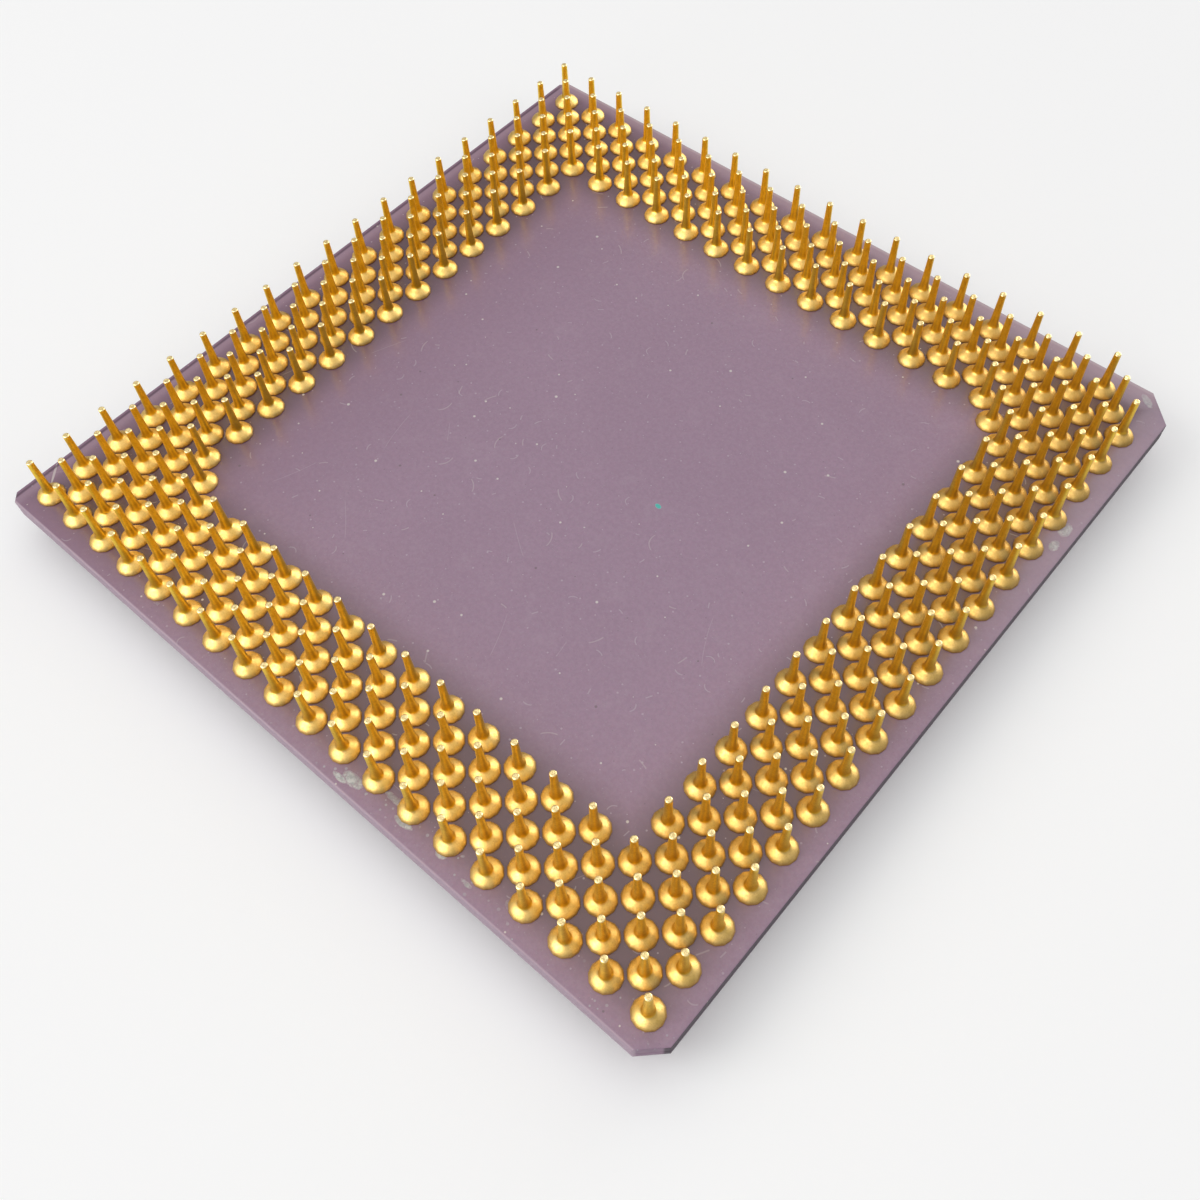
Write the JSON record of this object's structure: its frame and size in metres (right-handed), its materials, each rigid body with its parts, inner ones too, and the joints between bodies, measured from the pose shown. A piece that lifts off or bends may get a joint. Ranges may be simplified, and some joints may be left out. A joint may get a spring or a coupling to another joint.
{
  "type": "computer processor",
  "caption": "Square ceramic processor package with staggered rows of gold contact pins round its edge, a chamfered index corner and a stepped metal lid.",
  "frame": {"origin": "centre of the package in plan, on the plane of the lid's outer face, which the processor lies on", "axes": "+Z out of the pin side, along the pins; X and Y along the package's edges, with the index corner (large chamfer, pin missing) at +X +Y"},
  "size_m": [0.0492, 0.0492, 0.0064],
  "materials": {
    "package_ceramic": "semi-gloss mauve alumina",
    "lid_metal": "satin nickel plate",
    "seal_adhesive": "matt",
    "silicon": "polished",
    "underfill_epoxy": "matt",
    "interface_paste": "matt",
    "capacitor_ceramic": "matt",
    "pin_gold": "satin gold plate"
  },
  "bodies": {
    "root": {"ceramic_body": "package_ceramic", "lid": "lid_metal", "lid_seal": "seal_adhesive", "silicon_die": "silicon", "underfill": "underfill_epoxy", "thermal_interface": "interface_paste", "chip_capacitor_01": "capacitor_ceramic", "chip_capacitor_02": "capacitor_ceramic", "chip_capacitor_03": "capacitor_ceramic", "chip_capacitor_04": "capacitor_ceramic", "chip_capacitor_05": "capacitor_ceramic", "chip_capacitor_06": "capacitor_ceramic", "chip_capacitor_07": "capacitor_ceramic", "chip_capacitor_08": "capacitor_ceramic", "chip_capacitor_09": "capacitor_ceramic", "chip_capacitor_10": "capacitor_ceramic", "chip_capacitor_11": "capacitor_ceramic", "chip_capacitor_12": "capacitor_ceramic", "pins_front_1": "pin_gold", "pins_front_2": "pin_gold", "pins_front_3": "pin_gold", "pins_front_4": "pin_gold", "pins_right_1": "pin_gold", "pins_right_2": "pin_gold", "pins_right_3": "pin_gold", "pins_right_4": "pin_gold", "pins_back_1": "pin_gold", "pins_back_2": "pin_gold", "pins_back_3": "pin_gold", "pins_back_4": "pin_gold", "pins_left_1": "pin_gold", "pins_left_2": "pin_gold", "pins_left_3": "pin_gold", "pins_left_4": "pin_gold", "key_pin_1": "pin_gold", "key_pin_2": "pin_gold"}
  },
  "joints": []
}
